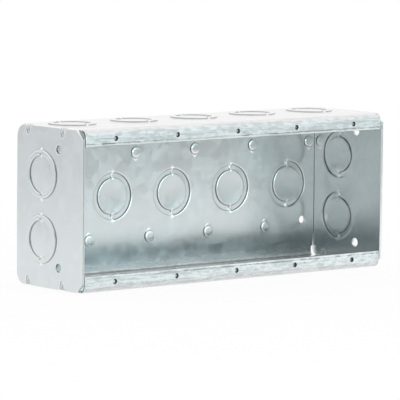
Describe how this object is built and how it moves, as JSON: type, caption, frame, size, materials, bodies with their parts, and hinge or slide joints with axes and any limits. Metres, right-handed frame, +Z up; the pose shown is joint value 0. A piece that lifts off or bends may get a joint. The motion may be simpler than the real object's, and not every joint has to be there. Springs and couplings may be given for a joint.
{
  "type": "multi-gang wall box",
  "caption": "Long open-fronted galvanised sheet steel wiring box with device flanges, concentric knockouts on its walls and clinched end plates.",
  "frame": {"origin": "under the middle of the box, on the surface that it stands on, which its bottom knockout rings meet", "axes": "+X along the box to the right as seen from its open front, +Y from the open front to the back, +Z up"},
  "size_m": [0.2342, 0.0642, 0.0964],
  "materials": {
    "galvanised_steel": "satin"
  },
  "bodies": {
    "root": {"folded_wrap": "galvanised_steel", "left_end_plate": "galvanised_steel", "right_end_plate": "galvanised_steel"}
  },
  "joints": []
}
